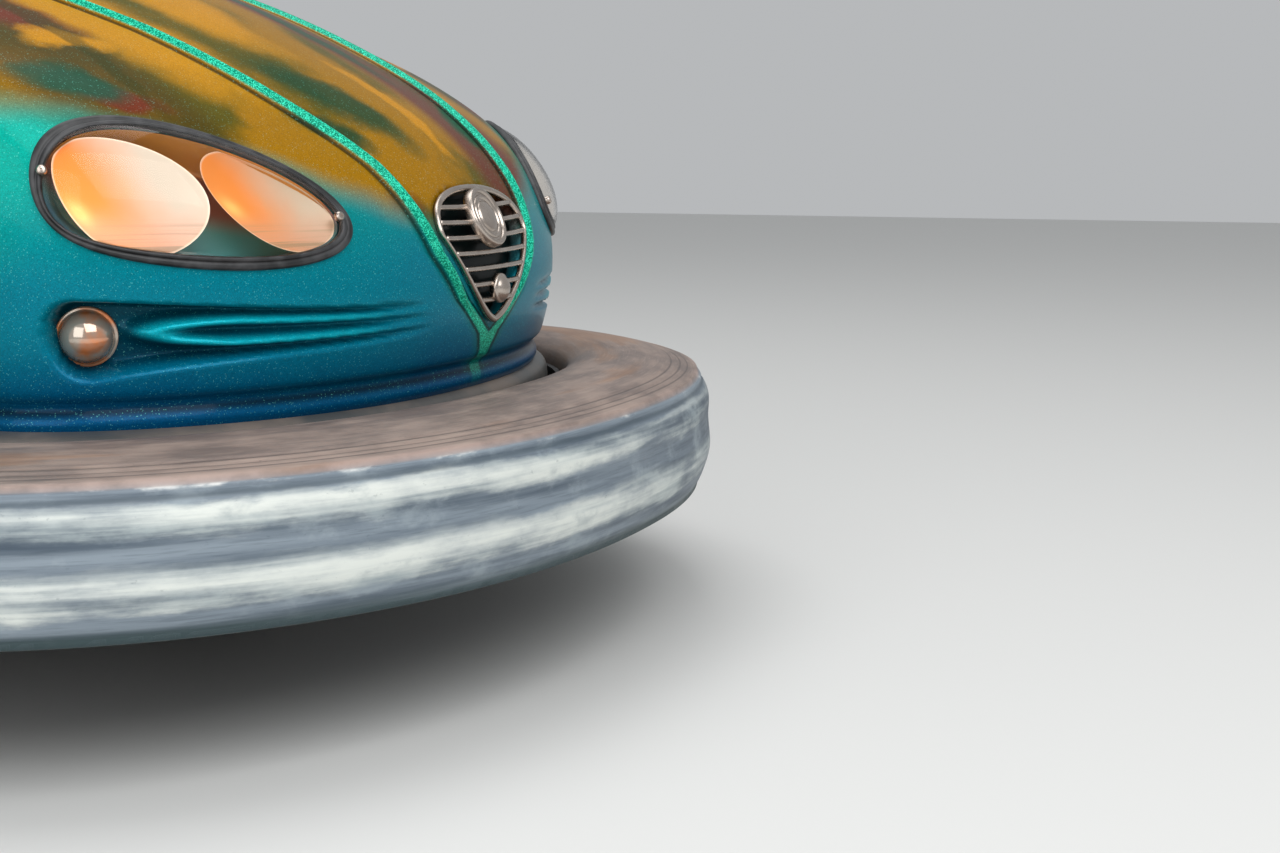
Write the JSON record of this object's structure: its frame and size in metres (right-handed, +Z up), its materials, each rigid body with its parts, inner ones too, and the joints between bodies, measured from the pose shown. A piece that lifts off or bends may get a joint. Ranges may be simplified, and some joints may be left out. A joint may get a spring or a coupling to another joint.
{
  "type": "bumper car",
  "caption": "Two-seat fairground bumper car: rubber ring all round, moulded body with headlamps and grille, steered front driving wheel, rear wheels and ceiling contact pole.",
  "frame": {"origin": "on the floor, under the middle of the rubber ring", "axes": "-Y towards the nose, +X to the car's left, +Z up"},
  "size_m": [1.15, 1.9, 2.55],
  "materials": {
    "ring_rubber": "satin, scuffed",
    "frame_steel": "satin black",
    "floor_steel": "worn plate",
    "body_paint": "metal-flake gloss",
    "liner_plastic": "textured",
    "edge_vinyl": "padded vinyl",
    "lamp_cover": "clear moulded",
    "lamp_reflector": "bright",
    "lamp_bowl": "dark",
    "lamp_rubber": "matt",
    "fog_lamp": "bright dome",
    "bright_metal": "polished",
    "tail_lens": "clear red",
    "seat_plastic": "textured",
    "seat_vinyl": "grained vinyl",
    "pedal_metal": "worn",
    "wheel_grip": "satin",
    "motor_paint": "satin grey",
    "tyre_rubber": "matt",
    "pole_steel": "bare tube",
    "contact_brass": "rubbed"
  },
  "bodies": {
    "root": {"bumper_ring": "ring_rubber", "ring_rim": "frame_steel", "chassis_frame": "frame_steel", "floor_plate": "floor_steel", "drive_bridge": "frame_steel", "body_front": "body_paint", "body_rear": "body_paint", "cockpit_liner": "liner_plastic", "dash_panel": "liner_plastic", "cockpit_trim": "edge_vinyl", "headlamp_bowl_left": "lamp_bowl", "headlamp_bowl_right": "lamp_bowl", "headlamp_reflectors_left": "lamp_reflector", "headlamp_reflectors_right": "lamp_reflector", "headlamp_seal_left": "lamp_rubber", "headlamp_seal_right": "lamp_rubber", "headlamp_cover_left": "lamp_cover", "headlamp_cover_right": "lamp_cover", "fog_lamp_left": "fog_lamp", "fog_lamp_right": "fog_lamp", "grille": "bright_metal", "grille_medallion": "bright_metal", "grille_boss": "bright_metal", "tail_lamp_left": "tail_lens", "tail_lamp_right": "tail_lens", "seat_box": "seat_plastic", "seat_cushion": "seat_vinyl", "seat_back_cushion": "seat_vinyl", "pedal": "pedal_metal", "column_jacket": "liner_plastic", "rear_bracket_left": "frame_steel", "rear_bracket_right": "frame_steel", "pole_socket": "frame_steel", "pole": "pole_steel", "contact_bow": "contact_brass"},
    "drive_unit": {"drive_fork": "frame_steel", "drive_motor": "motor_paint"},
    "drive_wheel": {"drive_wheel": "tyre_rubber"},
    "steering_wheel": {"steering_wheel": "wheel_grip"},
    "rear_wheel_left": {"rear_wheel_left": "tyre_rubber"},
    "rear_wheel_right": {"rear_wheel_right": "tyre_rubber"}
  },
  "joints": [
    {"name": "drive_steer", "type": "hinge", "parent": "root", "child": "drive_unit", "pos_m": [0, -0.5, 0.31], "axis": [0, 0, 1], "continuous": true},
    {"name": "drive_spin", "type": "hinge", "parent": "drive_unit", "child": "drive_wheel", "pos_m": [0, -0.5, 0.12], "axis": [1, 0, 0], "continuous": true},
    {"name": "steering_turn", "type": "hinge", "parent": "root", "child": "steering_wheel", "pos_m": [0, -0.04, 0.6], "axis": [0, 0.8829, 0.4695], "continuous": true},
    {"name": "rear_left_spin", "type": "hinge", "parent": "root", "child": "rear_wheel_left", "pos_m": [0.31, 0.5, 0.085], "axis": [1, 0, 0], "continuous": true},
    {"name": "rear_right_spin", "type": "hinge", "parent": "root", "child": "rear_wheel_right", "pos_m": [-0.31, 0.5, 0.085], "axis": [1, 0, 0], "continuous": true}
  ],
  "couplings": [
    {"joint": "steering_turn", "follows": "drive_steer", "ratio": 1}
  ]
}
